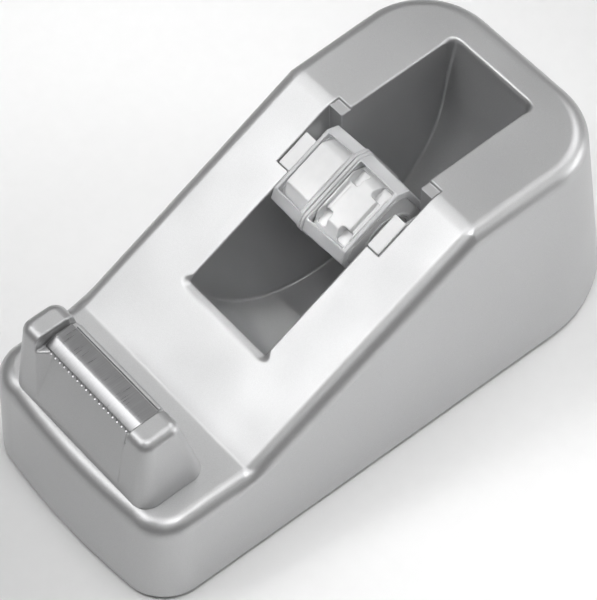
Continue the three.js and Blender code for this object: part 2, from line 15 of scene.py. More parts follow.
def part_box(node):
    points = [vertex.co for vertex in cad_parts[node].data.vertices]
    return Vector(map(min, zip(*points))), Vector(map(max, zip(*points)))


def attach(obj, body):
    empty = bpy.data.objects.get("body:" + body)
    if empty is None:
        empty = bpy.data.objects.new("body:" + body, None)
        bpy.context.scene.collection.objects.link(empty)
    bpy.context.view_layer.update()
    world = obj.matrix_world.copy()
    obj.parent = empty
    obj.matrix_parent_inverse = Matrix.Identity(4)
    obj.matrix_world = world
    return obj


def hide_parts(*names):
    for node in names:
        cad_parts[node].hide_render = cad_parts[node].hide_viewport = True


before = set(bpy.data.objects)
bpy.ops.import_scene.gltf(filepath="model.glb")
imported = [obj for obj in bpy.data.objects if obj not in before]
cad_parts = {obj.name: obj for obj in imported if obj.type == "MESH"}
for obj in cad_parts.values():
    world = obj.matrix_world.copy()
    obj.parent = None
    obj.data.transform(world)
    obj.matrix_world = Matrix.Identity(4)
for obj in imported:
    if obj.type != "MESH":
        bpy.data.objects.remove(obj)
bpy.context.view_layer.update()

MM = 0.001


def box_mm(node):
    """Lowest and highest corner of a CAD node, in millimetres."""
    low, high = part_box(node)
    return np.array(low) / MM, np.array(high) / MM


# ---- driving dimensions, in millimetres ---------------------------------------------------------
BODY_LOW, BODY_HIGH = box_mm("body_shell")
HEAD_LOW, HEAD_HIGH = box_mm("cutter_head")
BLADE_LOW, BLADE_HIGH = box_mm("cutter_blade")
PLATE_LOW, PLATE_HIGH = box_mm("base_plate")
AXLE_LOW, AXLE_HIGH = box_mm("hub_axle")
LUG_LOW, LUG_HIGH = box_mm("axle_lug_right")

RIM_Z = BODY_LOW[2]
HALF_LENGTH = 63.55
HALF_WIDTH = 27.9
FRONT_CORNER = 9.7
REAR_CORNER = 27.6
FRONT_BOW = 1.0
OUTLINE_SHIFT = FRONT_BOW / 2
WIDENING = 0.0227
SIDE_LEAN = 0.015
FRONT_LEAN = 0.089
REAR_LEAN = 0.242
WALL = 2.0
EDGE_ROUND = 3.4

PLATFORM_Z = RIM_Z + 22.6
RAMP_FOOT_Y = -38.4
RAMP_SLOPE = 0.5
RIDGE_Y = 15.8
TOP_SLOPE = 0.027
RIDGE_Z = PLATFORM_Z + RAMP_SLOPE * (RIDGE_Y - RAMP_FOOT_Y)
RIDGE_BLEND = 0.7
RAMP_FOOT_BLEND = 0.15

WELL_HALF = 11.33
WELL_FRONT_Y = -24.5
WELL_REAR_Y = 44.2
WELL_CENTRE_Y = 9.2
WELL_CENTRE_Z = RIM_Z + 39.2
WELL_RADIUS = 32.8
WELL_REAR_LEAN = math.radians(9)
WELL_CORNER = 2.3
WELL_FLOOR_ROUND = 0.5
SIDE_LIP = 0.35
FRONT_LIP = 2.2
REAR_LIP = 0.9
LIP_CHANGE_START = 1.0
LIP_CHANGE_END = 3.5
TUB_WALL = 1.8

GROOVE_OUTER = 14.75
GROOVE_FRONT_Y = 2.5
GROOVE_REAR_Y = 15.7
GROOVE_BOTTOM_Z = RIM_Z + 32.7
LEDGE_REAR_Y = 18.0
LEDGE_Z = RIM_Z + 49.2
GROOVE_LIP = 0.3

AXLE_GAP = 0.1

PITCH = 0.3
FINE = 0.18


# ---- distance functions -------------------------------------------------------------------------
def round_join(a, b, radius):
    """Union of two solids, with a fillet of that radius where they meet."""
    reach = np.hypot(np.maximum(radius - a, 0), np.maximum(radius - b, 0))
    return np.maximum(radius, np.minimum(a, b)) - reach


def round_cut(a, b, radius):
    """Intersection of two solids, with a rounded edge of that radius where they meet."""
    reach = np.hypot(np.maximum(radius + a, 0), np.maximum(radius + b, 0))
    return np.minimum(-radius, np.maximum(a, b)) + reach


def slab(value, low, high):
    """Distance to the space between two parallel planes."""
    return np.abs(value - (low + high) / 2) - (high - low) / 2


def rectangle(u, v, half_u, half_v, corner):
    """Distance to a rectangle with round corners, centred on the origin."""
    qu = np.abs(u) - half_u + corner
    qv = np.abs(v) - half_v + corner
    outside = np.hypot(np.maximum(qu, 0), np.maximum(qv, 0))
    return outside + np.minimum(np.maximum(qu, qv), 0) - corner


def smooth_step(value, low, high):
    """0 before low, 1 after high, and smooth between them."""
    t = np.clip((value - low) / (high - low), 0, 1)
    return t * t * (3 - 2 * t)


# ---- distance field to mesh ---------------------------------------------------------------------
def sample(distance, axes):
    """The distance at every grid point, worked out a few layers at a time."""
    field = np.empty([len(a) for a in axes], np.float32)
    layers = 12
    x = axes[0][:, None, None]
    z = axes[2][None, None, :]
    for start in range(0, len(axes[1]), layers):
        part = slice(start, start + layers)
        y = axes[1][part][None, :, None]
        field[:, part, :] = distance(x, y, z)
    return field


def surface_net(distance, low, high, pitch):
    """Points and quads of the surface where the distance is zero: one point in each grid cell that
    the surface passes through, and one quad round each grid edge that it crosses."""
    axes = [np.arange(low[i] - 2 * pitch, high[i] + 3 * pitch, pitch) for i in range(3)]
    field = sample(distance, axes)
    size = np.array(field.shape)
    stride = np.array([size[1] * size[2], size[2], 1])
    cells, crossings, turned = [], [], []
    for axis in range(3):
        near = [slice(None)] * 3
        far = [slice(None)] * 3
        near[axis] = slice(0, -1)
        far[axis] = slice(1, None)
        start, end = field[tuple(near)], field[tuple(far)]
        found = np.argwhere((start < 0) != (end < 0))
        first = start[tuple(found.T)].astype(float)
        second = end[tuple(found.T)].astype(float)
        place = found.astype(float)
        place[:, axis] += first / (first - second)
        u, v = stride[(axis + 1) % 3], stride[(axis + 2) % 3]
        home = found @ stride
        cells.append(np.stack([home, home - u, home - u - v, home - v], axis=1))
        crossings.append(place)
        turned.append(first > 0)
    cells = np.concatenate(cells)
    crossings = np.repeat(np.concatenate(crossings), 4, axis=0)
    turned = np.concatenate(turned)
    _, quads = np.unique(cells.ravel(), return_inverse=True)
    count = np.bincount(quads)
    points = np.stack([np.bincount(quads, crossings[:, i]) / count for i in range(3)], axis=1)
    origin = np.array([a[0] for a in axes])
    quads = quads.reshape(-1, 4)
    quads[turned] = quads[turned][:, ::-1]
    return origin + points * pitch, quads


def slope_at(distance, points):
    """Gradient of the distance at each point."""
    reach = 0.004
    slope = np.empty_like(points)
    for i in range(3):
        step = np.zeros(3)
        step[i] = reach
        ahead = distance(*(points + step).T)
        behind = distance(*(points - step).T)
        slope[:, i] = (ahead - behind) / (2 * reach)
    return slope


def settle(distance, points, pitch, rounds=2):
    """Moves points onto the surface."""
    for _ in range(rounds):
        slope = slope_at(distance, points)
        square = np.maximum((slope**2).sum(axis=1), 0.05)
        move = slope * (distance(*points.T) / square)[:, None]
        length = np.maximum(np.linalg.norm(move, axis=1), 1e-9)
        points = points - move * np.minimum(1, pitch / length)[:, None]
    return points


def even_out(points, quads):
    """Moves each point halfway to the middle of its neighbours."""
    total = np.zeros_like(points)
    count = np.zeros(len(points))
    for side in range(4):
        a, b = quads[:, side], quads[:, (side + 1) % 4]
        for i in range(3):
            total[:, i] += np.bincount(a, points[b, i], len(points))
        count += np.bincount(a, minlength=len(points))
    return (points + total / count[:, None]) / 2


def mesh_from(name, points, faces):
    """A Blender mesh, in metres, from points in millimetres and faces of equal size."""
    mesh = bpy.data.meshes.new(name)
    corners = faces.shape[1]
    mesh.vertices.add(len(points))
    mesh.vertices.foreach_set("co", (points * MM).astype(np.float32).ravel())
    mesh.loops.add(faces.size)
    mesh.loops.foreach_set("vertex_index", faces.astype(np.int32).ravel())
    mesh.polygons.add(len(faces))
    mesh.polygons.foreach_set("loop_start", np.arange(0, faces.size, corners, dtype=np.int32))
    mesh.update(calc_edges=True)
    return mesh


def points_of(mesh):
    """A mesh's points in millimetres."""
    flat = np.empty(len(mesh.vertices) * 3, np.float32)
    mesh.vertices.foreach_get("co", flat)
    return flat.reshape(-1, 3).astype(float) / MM


def thinned(piece, share):
    """Keeps that share of the faces, most of them where the surface bends."""
    modifier = piece.modifiers.new("thin", "DECIMATE")
    modifier.ratio = share
    graph = bpy.context.evaluated_depsgraph_get()
    mesh = bpy.data.meshes.new_from_object(piece.evaluated_get(graph))
    piece.modifiers.clear()
    piece.data = mesh


def surface_piece(name, distance, low, high, pitch=PITCH, keep=1.0):
    """A mesh object of the solid that a distance function describes, with exact smooth normals."""
    points, quads = surface_net(distance, low, high, pitch)
    for _ in range(2):
        points = settle(distance, even_out(points, quads), pitch)
    piece = bpy.data.objects.new(name, mesh_from(name, points, quads))
    bpy.context.scene.collection.objects.link(piece)
    if keep < 1:
        thinned(piece, keep)
    mesh = piece.data
    points = settle(distance, points_of(mesh), pitch)
    mesh.vertices.foreach_set("co", (points * MM).astype(np.float32).ravel())
    mesh.shade_smooth()
    slope = slope_at(distance, points)
    normals = slope / np.maximum(np.linalg.norm(slope, axis=1), 1e-9)[:, None]
    mesh.normals_split_custom_set_from_vertices(normals)
    mesh.update()
    return piece


# ---- body ---------------------------------------------------------------------------------------
def body_outline(x, y, z):
    """Distance to the drafted side walls. The corners tighten with height as the end walls lean in."""
    height = z - RIM_Z
    along = y - OUTLINE_SHIFT
    rear = along > 0
    lean = np.where(rear, REAR_LEAN, FRONT_LEAN)
    corner = np.where(rear, REAR_CORNER, FRONT_CORNER) - lean * height
    half_length = HALF_LENGTH - lean * height
    widening = 1 + WIDENING * along / half_length
    across = np.abs(x) / widening
    bow = FRONT_BOW * np.maximum(0, 1 - (across / (HALF_WIDTH - FRONT_CORNER)) ** 2)
    reach = np.abs(along) - np.where(rear, 0, bow)
    return rectangle(across, reach, HALF_WIDTH - SIDE_LEAN * height, half_length, corner)


def body_top(y, z):
    """Distance to the platform, ramp and top, as one surface seen along x."""
    ramp_height = PLATFORM_Z + RAMP_SLOPE * (y - RAMP_FOOT_Y)
    ramp = (z - ramp_height) * math.cos(math.atan(RAMP_SLOPE))
    top = z - (RIDGE_Z + TOP_SLOPE * (y - RIDGE_Y))
    hill = round_cut(ramp, top, RIDGE_BLEND)
    return round_join(z - PLATFORM_Z, hill, RAMP_FOOT_BLEND)


def body_blank(x, y, z, inset=0.0):
    wall = body_outline(x, y, z) + inset
    return round_cut(wall, body_top(y, z) + inset, EDGE_ROUND - inset / 2)


def well(x, y, z, grow=0.0):
    """Distance to the room for the tape roll: an arc under the roll and a leaning rear wall."""
    middle = (WELL_FRONT_Y + WELL_REAR_Y) / 2
    half = (WELL_REAR_Y - WELL_FRONT_Y) / 2
    shaft = rectangle(x, y - middle, WELL_HALF, half, WELL_CORNER)
    from_centre_y = y - WELL_CENTRE_Y
    from_centre_z = z - WELL_CENTRE_Z
    arc = np.hypot(from_centre_y, from_centre_z) - WELL_RADIUS
    lean = math.cos(WELL_REAR_LEAN), math.sin(WELL_REAR_LEAN)
    rear_wall = from_centre_y * lean[0] - from_centre_z * lean[1] - WELL_RADIUS
    above = from_centre_y * lean[1] + from_centre_z * lean[0] > 0
    floor = np.where(above, np.maximum(rear_wall, -WELL_RADIUS - from_centre_y), arc)
    return round_cut(shaft - grow, floor - grow, WELL_FLOOR_ROUND + grow)


def groove(x, y, z, grow=0.0):
    """Distance to the two upright grooves and the shallow ledge behind each."""
    slot = np.maximum(np.abs(x) - GROOVE_OUTER, slab(y, GROOVE_FRONT_Y, GROOVE_REAR_Y))
    slot = np.maximum(slot, GROOVE_BOTTOM_Z - z)
    ledge = np.maximum(np.abs(x) - GROOVE_OUTER, slab(y, GROOVE_REAR_Y - 1, LEDGE_REAR_Y))
    ledge = np.maximum(ledge, LEDGE_Z - z)
    return np.minimum(slot, ledge) - grow


def body_distance(x, y, z):
    outside = body_blank(x, y, z)
    fittings = np.minimum(well(x, y, z, TUB_WALL), groove(x, y, z, TUB_WALL))
    hollow = np.maximum(body_blank(x, y, z, WALL), -fittings)
    shell = np.maximum(outside, RIM_Z - z)
    front = smooth_step(y, WELL_FRONT_Y + LIP_CHANGE_END, WELL_FRONT_Y + LIP_CHANGE_START)
    rear = smooth_step(y, WELL_REAR_Y - LIP_CHANGE_END, WELL_REAR_Y - LIP_CHANGE_START)
    lip = SIDE_LIP + (FRONT_LIP - SIDE_LIP) * front + (REAR_LIP - SIDE_LIP) * rear
    shell = round_cut(shell, -well(x, y, z), lip)
    shell = round_cut(shell, -groove(x, y, z), GROOVE_LIP)
    return np.maximum(shell, -hollow)


# ---- cutter head --------------------------------------------------------------------------------
HEAD_HALF = HEAD_HIGH[0]
HEAD_FRONT_Y, HEAD_REAR_Y = HEAD_LOW[1], HEAD_HIGH[1]
HEAD_TOP_Z = HEAD_HIGH[2]
HEAD_CORNER = 3.6
HEAD_CORNER_LEAN = 0.07
HEAD_FRONT_LEAN = 0.15
HEAD_REAR_LEAN = 0.236
HEAD_SIDE_LEAN = 0.08
HEAD_ROUND = 1.9
EAR_INNER = 13.5
EAR_EDGE = 0.35
HEAD_LIP_Z = RIM_Z + 38.25
HEAD_FLOOR_GAP = 0.02
BAY_REAR_Y = -48.1
NOTCH_WIDTH = 1.3
NOTCH_LENGTH = 1.2
NOTCH_DEPTH = 1.2
FACE_RECESS_START = 1.6
FACE_RECESS_INSET = 1.2
FACE_RECESS_LEAN = 0.205
FACE_RECESS_WIDENING = 0.06
FACE_RECESS_FLARE = 0.8
FACE_RECESS_SQUARENESS = 0.75
FACE_RECESS_EDGE = 0.25
FACE_WALL = 0.8 * WALL


def head_block(x, y, z, inset=0.0):
    rise = z - PLATFORM_Z
    front = HEAD_FRONT_Y + HEAD_FRONT_LEAN * rise
    rear = HEAD_REAR_Y - HEAD_REAR_LEAN * rise
    half_width = HEAD_HALF - HEAD_SIDE_LEAN * rise
    corner = HEAD_CORNER - HEAD_CORNER_LEAN * rise
    sides = rectangle(x, y - (front + rear) / 2, half_width, (rear - front) / 2, corner)
    return round_cut(sides + inset, z - HEAD_TOP_Z + inset, HEAD_ROUND)


def blade_bay(x, y, z):
    """Room between the ears: the blade's bed, which drops towards the front, the open lip, and a notch
    behind the blade beside each ear."""
    bed = BLADE_TOP_Z - BLADE_THICK - BED_GAP
    drop = BLADE_DROP / (BLADE_BEND_Y - BLADE_EDGE_Y)
    slope = bed - np.clip(BLADE_BEND_Y - y, 0, BLADE_BEND_Y - BLADE_EDGE_Y) * drop
    over_bed = np.maximum(slope - z, y - BAY_REAR_Y)
    over_lip = HEAD_LIP_Z - z
    bay = round_cut(np.abs(x) - EAR_INNER, np.minimum(over_bed, over_lip), EAR_EDGE)
    beside_ear = slab(np.abs(x), EAR_INNER - NOTCH_WIDTH, EAR_INNER + 0.2)
    notch = np.maximum(beside_ear, slab(y, BAY_REAR_Y - 0.5, BAY_REAR_Y + NOTCH_LENGTH))
    notch = np.maximum(notch, BLADE_TOP_Z - NOTCH_DEPTH - z)
    return np.minimum(bay, notch)


def face_recess(x, y, z):
    """Wedge cut out of the front face, which deepens and widens upwards."""
    rise = z - PLATFORM_Z - FACE_RECESS_START
    face = HEAD_FRONT_Y + HEAD_FRONT_LEAN * (z - PLATFORM_Z)
    depth = y - face - FACE_RECESS_LEAN * rise
    half_width = EAR_INNER - FACE_RECESS_INSET + FACE_RECESS_WIDENING * rise
    half_width = half_width + FACE_RECESS_FLARE * (face - y)
    side = (np.abs(x) - half_width) * FACE_RECESS_SQUARENESS
    return round_cut(round_cut(depth, side, 0.15), -rise, 0.4)


def head_distance(x, y, z):
    head = np.maximum(head_block(x, y, z), PLATFORM_Z + HEAD_FLOOR_GAP - z)
    head = round_cut(head, -face_recess(x, y, z), FACE_RECESS_EDGE)
    head = round_cut(head, -blade_bay(x, y, z), EAR_EDGE)
    ceiling = z - (BLADE_LOW[2] - WALL)
    hollow = np.maximum(head_block(x, y, z, WALL), ceiling)
    post = np.hypot(np.abs(x) - HEAD_SCREW_X, y - HEAD_SCREW_Y)
    hollow = np.maximum(hollow, HEAD_POST_RADIUS - post)
    hollow = np.maximum(hollow, FACE_WALL - face_recess(x, y, z))
    hole = np.maximum(post - SCREW_HOLE_RADIUS, z - PLATFORM_Z - SCREW_LENGTH)
    return np.maximum(head, -np.minimum(hollow, hole))


# ---- blade --------------------------------------------------------------------------------------
BLADE_THICK = 0.4
BLADE_TOP_Z = BLADE_HIGH[2] + 0.4
BLADE_REAR_Y = BLADE_HIGH[1]
BLADE_BEND_Y = -52.3
BLADE_EDGE_Y = -54.5
BLADE_DROP = 0.98
BED_GAP = 0.05
TOOTH_COUNT = 20
TOOTH_PROFILE = ((0.0, 0.0), (0.36, 1.0), (0.64, 1.0))
TOOTH_REACH = 0.18
TOOTH_DROP = 0.5
TOOTH_THICK = 0.3
TIP_REACH = 0.3
TIP_DROP = 0.14
TIP_THICK = 0.12
GAP_SHARE = 0.1
BEND_HALF = 0.4
BLADE_EASE = 0.08


def blade_stations():
    """Side view of the blade as (y, z of its top, thickness), from the rear edge to the tooth roots."""
    top = BLADE_TOP_Z
    slope = BLADE_DROP / (BLADE_BEND_Y - BLADE_EDGE_Y)
    stations = [
        (BLADE_REAR_Y, top - BLADE_EASE, BLADE_THICK - 2 * BLADE_EASE),
        (BLADE_REAR_Y - BLADE_EASE, top, BLADE_THICK),
        (BLADE_BEND_Y + 2 * BEND_HALF, top, BLADE_THICK),
    ]
    steps = 6
    for i in range(steps + 1):
        t = i / steps
        y = BLADE_BEND_Y + BEND_HALF * (1 - 2 * t)
        stations.append((y, top - slope * BEND_HALF * t * t, BLADE_THICK))
    stations.append((BLADE_EDGE_Y, top - BLADE_DROP, BLADE_THICK))
    stations.append((BLADE_EDGE_Y - 0.1, top - BLADE_DROP - BLADE_EASE, BLADE_THICK - BLADE_EASE / 2))
    return stations


def cutter_blade():
    """Bent strip with a row of ground teeth, which point down and end in small flat tips."""
    half = BLADE_HIGH[0]
    width = 2 * half / TOOTH_COUNT
    columns = [(-half + width * (i + t), tip) for i in range(TOOTH_COUNT) for t, tip in TOOTH_PROFILE]
    columns.append((half, 0.0))
    stations = blade_stations()
    root_y, root_z, _ = stations[-1]
    tooth = (TOOTH_REACH, TOOTH_DROP, TOOTH_THICK)
    tooth_tip = (TOOTH_REACH + TIP_REACH, TOOTH_DROP + TIP_DROP, TIP_THICK)
    top, bottom = [], []
    for y, z, thickness in stations:
        top.append([(x, y, z) for x, _ in columns])
        bottom.append([(x, y, z - thickness) for x, _ in columns])
    for reach, drop, under in (tooth, tooth_tip):
        upper, lower = [], []
        for x, tip in columns:
            share = GAP_SHARE + (1 - GAP_SHARE) * tip
            upper.append((x, root_y - reach * share, root_z - drop * share))
            lower.append((x, root_y - reach * share, root_z - drop * share - under))
        top.append(upper)
        bottom.append(lower)
    mesh = bmesh.new()
    upper = [[mesh.verts.new(p) for p in row] for row in top]
    lower = [[mesh.verts.new(p) for p in row] for row in bottom]
    last = len(columns) - 1
    for r in range(len(upper) - 1):
        for c in range(last):
            mesh.faces.new((upper[r][c], upper[r + 1][c], upper[r + 1][c + 1], upper[r][c + 1]))
            mesh.faces.new((lower[r][c], lower[r][c + 1], lower[r + 1][c + 1], lower[r + 1][c]))
        for c in (0, last):
            mesh.faces.new((upper[r][c], lower[r][c], lower[r + 1][c], upper[r + 1][c]))
    for row in (0, -1):
        for c in range(last):
            mesh.faces.new((upper[row][c], upper[row][c + 1], lower[row][c + 1], lower[row][c]))
    bmesh.ops.recalc_face_normals(mesh, faces=mesh.faces)
    bmesh.ops.scale(mesh, vec=(MM, MM, MM), verts=mesh.verts)
    piece = piece_from_bmesh("blade_strip", mesh)
    smooth_by_angle(piece, 20)
    return piece


def piece_from_bmesh(name, mesh):
    data = bpy.data.meshes.new(name)
    mesh.to_mesh(data)
    mesh.free()
    piece = bpy.data.objects.new(name, data)
    bpy.context.scene.collection.objects.link(piece)
    return piece


def smooth_by_angle(piece, degrees):
    piece.data.shade_smooth()
    piece.data.set_sharp_from_angle(angle=math.radians(degrees))


# ---- hub ----------------------------------------------------------------------------------------
HUB_Y = 8.8
HUB_Z = RIM_Z + 38.1
RAMP_ANGLE = math.atan(RAMP_SLOPE)
DRUM_HALF_LENGTH = 10.3
DRUM_SEAM_X = -1.4
DRUM_HALF_FLAT = 9.7
DRUM_CHAMFER = 2.1
DRUM_TAPER = 0.97
DRUM_WALL = 1.5
DRUM_EDGE = 0.2
WINDOW_ALONG = 7.3
WINDOW_NEAR_SEAM = 1.2
WINDOW_NEAR_END = 0.9
PANE_DEPTH = 0.22
POCKET_DEPTH = 2.2
POCKET_NEAR_END = 2.0
POCKET_NEAR_SEAM = 2.9
CHANNEL_DEPTH = 0.9
CHANNEL_REACH = 4.3
END_RIM = 1.3
END_PLATE_DEEP = 1.1
END_PLATE_SUNK = 0.25
END_RING_RADIUS = 6.0
SEAM = 0.04
BAND_PROUD = 0.25
BAND_WIDTH = 0.8
BAND_EDGE = 0.12
SLEEVE_RADIUS = 3.6
RING_HALF_THICK = 0.3
RING_GROOVE_INSIDE = 1.2
RING_GROOVE_DEPTH = 0.65
COLLAR_REACH = box_mm("drum_half_right")[1][0]
AXLE_RADIUS = 2.1
AXLE_END = AXLE_HIGH[0]
LUG_GROW = 0.12
LUG_STEP_Y = 9.5
LUG_STEP_Z = RIM_Z + 41.6
LUG_EDGE = 0.25
LUG_BELOW_RAMP = 0.35


def on_ramp(y, z):
    """Coordinates round the hub's axis: along the ramp, and square to it."""
    dy, dz = y - HUB_Y, z - HUB_Z
    cos, sin = math.cos(RAMP_ANGLE), math.sin(RAMP_ANGLE)
    return dy * cos + dz * sin, dz * cos - dy * sin


def on_drum(x, y, z, side):
    """Coordinates on one half of the tapered drum: outwards from the seam, along the ramp and square
    to it, the last two scaled up by as much as the drum narrows there."""
    out = (x - DRUM_SEAM_X) * side
    along, up = on_ramp(y, z)
    size = 1 - (1 - DRUM_TAPER) * np.clip(out, 0, 2 * DRUM_HALF_LENGTH) / DRUM_HALF_LENGTH
    return out, along / size, up / size


def square_bar(along, up, half, chamfer, edge):
    """Distance to a square bar with flat chamfers along its corners."""
    flats = rectangle(along, up, half, half, edge)
    corners = (np.abs(along) + np.abs(up) - 2 * half + chamfer) / math.sqrt(2)
    return round_cut(flats, corners, edge)


def drum_distance(side):
    """The clear frame of one half of the drum: rim, end wall, corner posts and sleeve, with a window in
    each of its four sides."""
    end = DRUM_HALF_LENGTH - DRUM_SEAM_X * side
    collar = COLLAR_REACH - DRUM_SEAM_X * side

    def distance(x, y, z):
        out, along, up = on_drum(x, y, z, side)
        bar = square_bar(along, up, DRUM_HALF_FLAT, DRUM_CHAMFER, DRUM_EDGE)
        cup = round_cut(bar, slab(out, SEAM, end), DRUM_EDGE)
        band = round_cut(bar - BAND_PROUD, slab(out, SEAM, BAND_WIDTH), BAND_EDGE)
        inner = DRUM_HALF_FLAT - DRUM_WALL
        room = square_bar(along, up, inner, DRUM_CHAMFER - 0.6, DRUM_EDGE)
        room = round_cut(room, slab(out, -3, end - DRUM_WALL), 0.4)
        across = np.minimum(np.abs(along), np.abs(up)) - WINDOW_ALONG
        window = round_cut(across, slab(out, WINDOW_NEAR_SEAM, end - WINDOW_NEAR_END), 0.3)
        opening = square_bar(along, up, DRUM_HALF_FLAT - END_RIM, DRUM_CHAMFER, 0.3)
        opening = np.maximum(opening, end - END_PLATE_DEEP - 0.6 - out)
        openings = np.minimum(np.minimum(room, window), opening)
        cup = round_cut(np.minimum(cup, band), -openings, 0.15)
        radius = np.hypot(along, up)
        sleeve = np.maximum(radius - SLEEVE_RADIUS, slab(out, SEAM, collar))
        solid = round_join(cup, sleeve, 0.3)
        return round_cut(solid, AXLE_RADIUS + AXLE_GAP - np.hypot(*on_ramp(y, z)), 0.15)

    return distance


def pockets(out, across, depth, window_end):
    """Distance to the pockets at the corners of one side of the core, and the two shallow channels that
    join them. across is the distance from the middle of that side."""
    near_end = rectangle(across - 5.3, out - window_end + POCKET_NEAR_END, 1.5, 1.5, 0.7)
    near_seam = rectangle(across - 4.9, out - POCKET_NEAR_SEAM, 1.6, 1.3, 0.6)
    corners = np.maximum(np.minimum(near_end, near_seam), depth - POCKET_DEPTH)
    channels = np.minimum(slab(out, window_end - 1.6, window_end - 0.7), slab(out, 1.8, 2.9))
    channels = np.maximum(channels, np.maximum(across - CHANNEL_REACH, depth - CHANNEL_DEPTH))
    return round_join(corners, channels, 0.3)


def core_distance(side):
    """The frosted core that shows in the windows, with pockets in the right half, and the end plate
    with its ring."""
    end = DRUM_HALF_LENGTH - DRUM_SEAM_X * side
    window_end = end - WINDOW_NEAR_END

    def distance(x, y, z):
        out, along, up = on_drum(x, y, z, side)
        half = DRUM_HALF_FLAT - PANE_DEPTH
        core = square_bar(along, up, half, 2 * (half - WINDOW_ALONG) + 0.1, 0.2)
        core = round_cut(core, slab(out, WINDOW_NEAR_SEAM + 0.1, window_end - 0.1), 0.15)
        radius = np.hypot(along, up)
        sleeve = SLEEVE_RADIUS + 0.05 - radius
        core = np.maximum(core, sleeve)
        across = np.minimum(np.abs(along), np.abs(up))
        depth = half - np.maximum(np.abs(along), np.abs(up))
        if side > 0:
            core = round_cut(core, -pockets(out, across, depth, window_end), 0.25)
        plate = square_bar(along, up, DRUM_HALF_FLAT - END_RIM - 0.05, DRUM_CHAMFER, 0.3)
        plate = round_cut(plate, slab(out, end - END_PLATE_DEEP, end - END_PLATE_SUNK), 0.2)
        from_ring = radius - END_RING_RADIUS
        ring = np.abs(from_ring) - RING_HALF_THICK
        ring = np.maximum(ring, slab(out, end - END_PLATE_DEEP, end - 0.05))
        groove_ring = np.abs(from_ring + RING_GROOVE_INSIDE) - 0.35
        groove_ring = np.maximum(groove_ring, end - RING_GROOVE_DEPTH - out)
        plate = np.maximum(round_cut(plate, -groove_ring, 0.1), sleeve)
        return np.minimum(core, round_join(plate, ring, 0.15))

    return distance


def axle_distance(x, y, z):
    along, up = on_ramp(y, z)
    return round_cut(np.hypot(along, up) - AXLE_RADIUS, np.abs(x) - AXLE_END, 0.3)


def lug_distance(side):
    """The clear block in a groove: full height in front, and a low shelf behind."""

    def distance(x, y, z):
        out = x * side
        ramp_height = PLATFORM_Z + RAMP_SLOPE * (y - RAMP_FOOT_Y)
        below_ramp = (z - ramp_height + LUG_BELOW_RAMP) * math.cos(RAMP_ANGLE) - LUG_GROW
        tall = np.maximum(slab(y, LUG_LOW[1], LUG_STEP_Y), below_ramp)
        low = np.maximum(slab(y, LUG_LOW[1], LUG_HIGH[1]) - LUG_GROW, z - LUG_STEP_Z)
        side_view = round_join(tall - LUG_GROW, low, LUG_EDGE)
        side_view = round_cut(side_view, LUG_LOW[2] - z - LUG_GROW, LUG_EDGE)
        block = round_cut(side_view, slab(out, LUG_LOW[0], LUG_HIGH[0]) - LUG_GROW, LUG_EDGE)
        along, up = on_ramp(y, z)
        return np.maximum(block, AXLE_RADIUS + AXLE_GAP - np.hypot(along, up))

    return distance


# ---- base plate, feet, screws and ballast -------------------------------------------------------
SCREW_LENGTH = 8.0
SCREW_HOLE_RADIUS = 1.5
SCREW_SHANK = 1.2
SCREW_HEAD = 2.6
SCREW_HEAD_HEIGHT = 1.2
THREAD_PITCH = 1.1
THREAD_DEPTH = 0.28
RECESS_REACH = 1.4
RECESS_HALF = 0.3
HEAD_SCREW_X = 11.5
HEAD_SCREW_Y = -51.5
HEAD_POST_RADIUS = 3.0
FOOT_RADIUS = 5.0
FOOT_HEIGHT = box_mm("rubber_foot_front_left")[1][2]
FOOT_POCKET = 1.3
PLATE_GAP = 0.15
PLATE_TOP_Z = RIM_Z + 2.6
CORNERS = ("front_left", "front_right", "rear_left", "rear_right")


def centre_mm(node):
    low, high = box_mm(node)
    return (low + high) / 2


SCREW_PLACES = [centre_mm(f"base_screw_{corner}") for corner in CORNERS]
FOOT_PLACES = [centre_mm(f"rubber_foot_{corner}") for corner in CORNERS]


def plate_distance(x, y, z):
    plate = body_outline(x, y, z) + WALL + PLATE_GAP
    plate = round_cut(plate, slab(z, PLATE_LOW[2], PLATE_TOP_Z), 0.4)
    for place in SCREW_PLACES:
        away = np.hypot(x - place[0], y - place[1])
        sink = np.maximum(away - SCREW_HEAD - 0.3, z - PLATE_LOW[2] - SCREW_HEAD_HEIGHT - 0.3)
        plate = round_cut(plate, -np.minimum(sink, away - SCREW_HOLE_RADIUS), 0.25)
    for place in FOOT_PLACES:
        away = np.hypot(x - place[0], y - place[1])
        pocket = np.maximum(away - FOOT_RADIUS - 0.15, z - RIM_Z - FOOT_POCKET)
        plate = round_cut(plate, -pocket, 0.3)
    return plate


def screw_distance(x, y, z):
    """A pan-head screw at the origin, its head's face at z 0 and its shank upwards."""
    away = np.hypot(x, y)
    crown = z - 0.3 * (away / SCREW_HEAD) ** 2
    head = round_cut(away - SCREW_HEAD, np.maximum(-crown, z - SCREW_HEAD_HEIGHT), 0.25)
    turn = np.arctan2(y, x) / (2 * math.pi)
    ridge = np.abs(np.mod(z / THREAD_PITCH - turn, 1.0) - 0.5) * 2
    taper = np.clip(SCREW_LENGTH - z, 0, 1.5) / 1.5
    shank = away - SCREW_SHANK * (0.35 + 0.65 * taper) + THREAD_DEPTH * ridge * taper
    shank = np.maximum(shank * 0.8, slab(z, 0.5, SCREW_LENGTH))
    cross = np.minimum(
        np.maximum(np.abs(x) - RECESS_REACH, np.abs(y) - RECESS_HALF),
        np.maximum(np.abs(y) - RECESS_REACH, np.abs(x) - RECESS_HALF),
    )
    recess = np.maximum(cross + 0.12 * z, z - 0.9)
    return round_cut(np.minimum(head, shank), -recess, 0.1)


